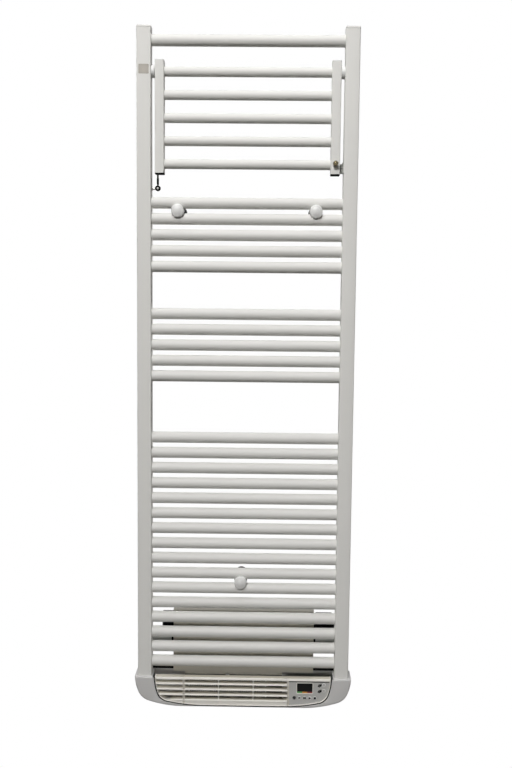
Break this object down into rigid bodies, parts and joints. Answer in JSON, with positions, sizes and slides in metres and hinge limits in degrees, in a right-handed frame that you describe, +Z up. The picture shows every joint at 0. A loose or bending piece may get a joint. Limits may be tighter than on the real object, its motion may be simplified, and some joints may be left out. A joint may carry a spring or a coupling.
{
  "type": "heated towel rail",
  "caption": "Ladder towel rail with round rungs in groups, a fold-out drying rack, wall brackets and a fan blower with a louvred outlet and a display fascia.",
  "frame": {"origin": "midway between the two upper wall screws, on the wall's plane", "axes": "+Z up along the uprights, +Y into the wall, the room and the front at -Y, +X to the right seen from the front"},
  "size_m": [0.55, 0.1007, 1.6887],
  "materials": {
    "white_paint": "smooth white powder coat, satin gloss",
    "white_plastic": "smooth moulded white plastic",
    "white_trim": "small moulded white trim",
    "black_plastic": "fine matt black moulding",
    "beige_housing": "matt beige moulding",
    "label_print": "thin blank label film",
    "steel": "zinc plated steel",
    "catch_grey": "plain grey sheet steel",
    "chrome": "bright plated metal",
    "knob_metal": "dark bronze plating",
    "magnet": "dark ferrite",
    "bush_plastic": "pale bearing plastic",
    "window_glass": "dark clear display window",
    "strip_print": "green, orange and dark red status strip",
    "button_plastic": "moulded white button",
    "button_dark": "moulded dark grey button",
    "mat_rubber": "silicone button mat",
    "board": "green circuit board",
    "module": "dark display module",
    "duct_plastic": "heat resistant black moulding",
    "heater_fins": "plain fins",
    "filter_mesh": "dark grey filter frame and mesh",
    "fan_plastic": "dark moulded wheel",
    "motor_case": "dark motor case",
    "gland_rubber": "black grommet"
  },
  "bodies": {
    "ladder": {"left_upright": "white_paint", "right_upright": "white_paint", "top_rung": "white_paint", "upper_rungs": "white_paint", "middle_rungs": "white_paint", "lower_rungs": "white_paint", "upright_caps": "white_paint", "vent_plug": "white_trim", "blank_label": "label_print", "heating_element": "steel", "wall_plates": "white_plastic", "bracket_posts": "black_plastic", "bracket_screws": "steel", "clamp_plates": "white_trim", "bracket_caps": "white_plastic", "pivot_bosses": "white_trim", "pivot_pins": "steel", "catch_plate": "catch_grey", "catch_magnet": "magnet", "latch_stud": "chrome", "rack_screws": "chrome", "casing_shell": "white_plastic", "grille_left": "white_plastic", "grille_main": "white_plastic", "control_fascia": "white_plastic", "display_window": "window_glass", "status_strip": "strip_print", "display_module": "module", "button_mat": "mat_rubber", "control_board": "board", "blower_housing": "beige_housing", "rear_cover": "beige_housing", "fan_bearing": "steel", "fan_motor": "motor_case", "power_board": "board", "outlet_duct": "duct_plastic", "ptc_heater": "heater_fins", "thermal_cutout": "steel", "side_brackets": "catch_grey", "left_tube_hook": "black_plastic", "junction_box": "black_plastic", "cable_gland": "gland_rubber", "casing_screws": "steel"},
    "rack": {"rack_left_bar": "white_paint", "rack_right_bar": "white_paint", "rack_rungs": "white_paint", "rack_top_caps": "white_trim", "rack_bottom_caps": "black_plastic", "pivot_bushes": "bush_plastic", "pull_knob": "knob_metal"},
    "latch": {"latch_arm": "black_plastic"},
    "fan": {"fan_wheel": "fan_plastic"},
    "filter": {"air_filter": "filter_mesh"},
    "standby_key": {"standby_button": "button_dark"},
    "mode_key": {"mode_button": "button_plastic"},
    "program_key": {"program_button": "button_plastic"},
    "minus_key": {"minus_button": "button_plastic"},
    "plus_key": {"plus_button": "button_plastic"},
    "fan_key": {"fan_button": "button_plastic"},
    "boost_key": {"boost_button": "button_plastic"}
  },
  "joints": [
    {"name": "rack_hinge", "type": "hinge", "parent": "ladder", "child": "rack", "pos_m": [0, -0.072, 0.33095], "axis": [-1, 0, 0], "range_deg": [0, 90]},
    {"name": "latch_hinge", "type": "hinge", "parent": "ladder", "child": "latch", "pos_m": [-0.2174, -0.074, 0.05395], "axis": [0, 1, 0], "range_deg": [0, 95]},
    {"name": "fan_spin", "type": "hinge", "parent": "ladder", "child": "fan", "pos_m": [-0.04, -0.034, -1.0707], "axis": [1, 0, 0], "continuous": true},
    {"name": "filter_slide", "type": "slide", "parent": "ladder", "child": "filter", "axis": [0, 0, 1], "range_m": [0, 0.065]},
    {"name": "standby_press", "type": "slide", "parent": "ladder", "child": "standby_key", "axis": [0, 1, 0], "range_m": [0, 0.0008], "stiffness_N_per_m": 900, "springref_m": -0.0002},
    {"name": "mode_press", "type": "slide", "parent": "ladder", "child": "mode_key", "axis": [0, 1, 0], "range_m": [0, 0.0008], "stiffness_N_per_m": 900, "springref_m": -0.0002},
    {"name": "program_press", "type": "slide", "parent": "ladder", "child": "program_key", "axis": [0, 1, 0], "range_m": [0, 0.0008], "stiffness_N_per_m": 900, "springref_m": -0.0002},
    {"name": "minus_press", "type": "slide", "parent": "ladder", "child": "minus_key", "axis": [0, 1, 0], "range_m": [0, 0.0008], "stiffness_N_per_m": 900, "springref_m": -0.0002},
    {"name": "plus_press", "type": "slide", "parent": "ladder", "child": "plus_key", "axis": [0, 1, 0], "range_m": [0, 0.0008], "stiffness_N_per_m": 900, "springref_m": -0.0002},
    {"name": "fan_press", "type": "slide", "parent": "ladder", "child": "fan_key", "axis": [0, 1, 0], "range_m": [0, 0.0008], "stiffness_N_per_m": 900, "springref_m": -0.0002},
    {"name": "boost_press", "type": "slide", "parent": "ladder", "child": "boost_key", "axis": [0, 1, 0], "range_m": [0, 0.0008], "stiffness_N_per_m": 900, "springref_m": -0.0002}
  ]
}
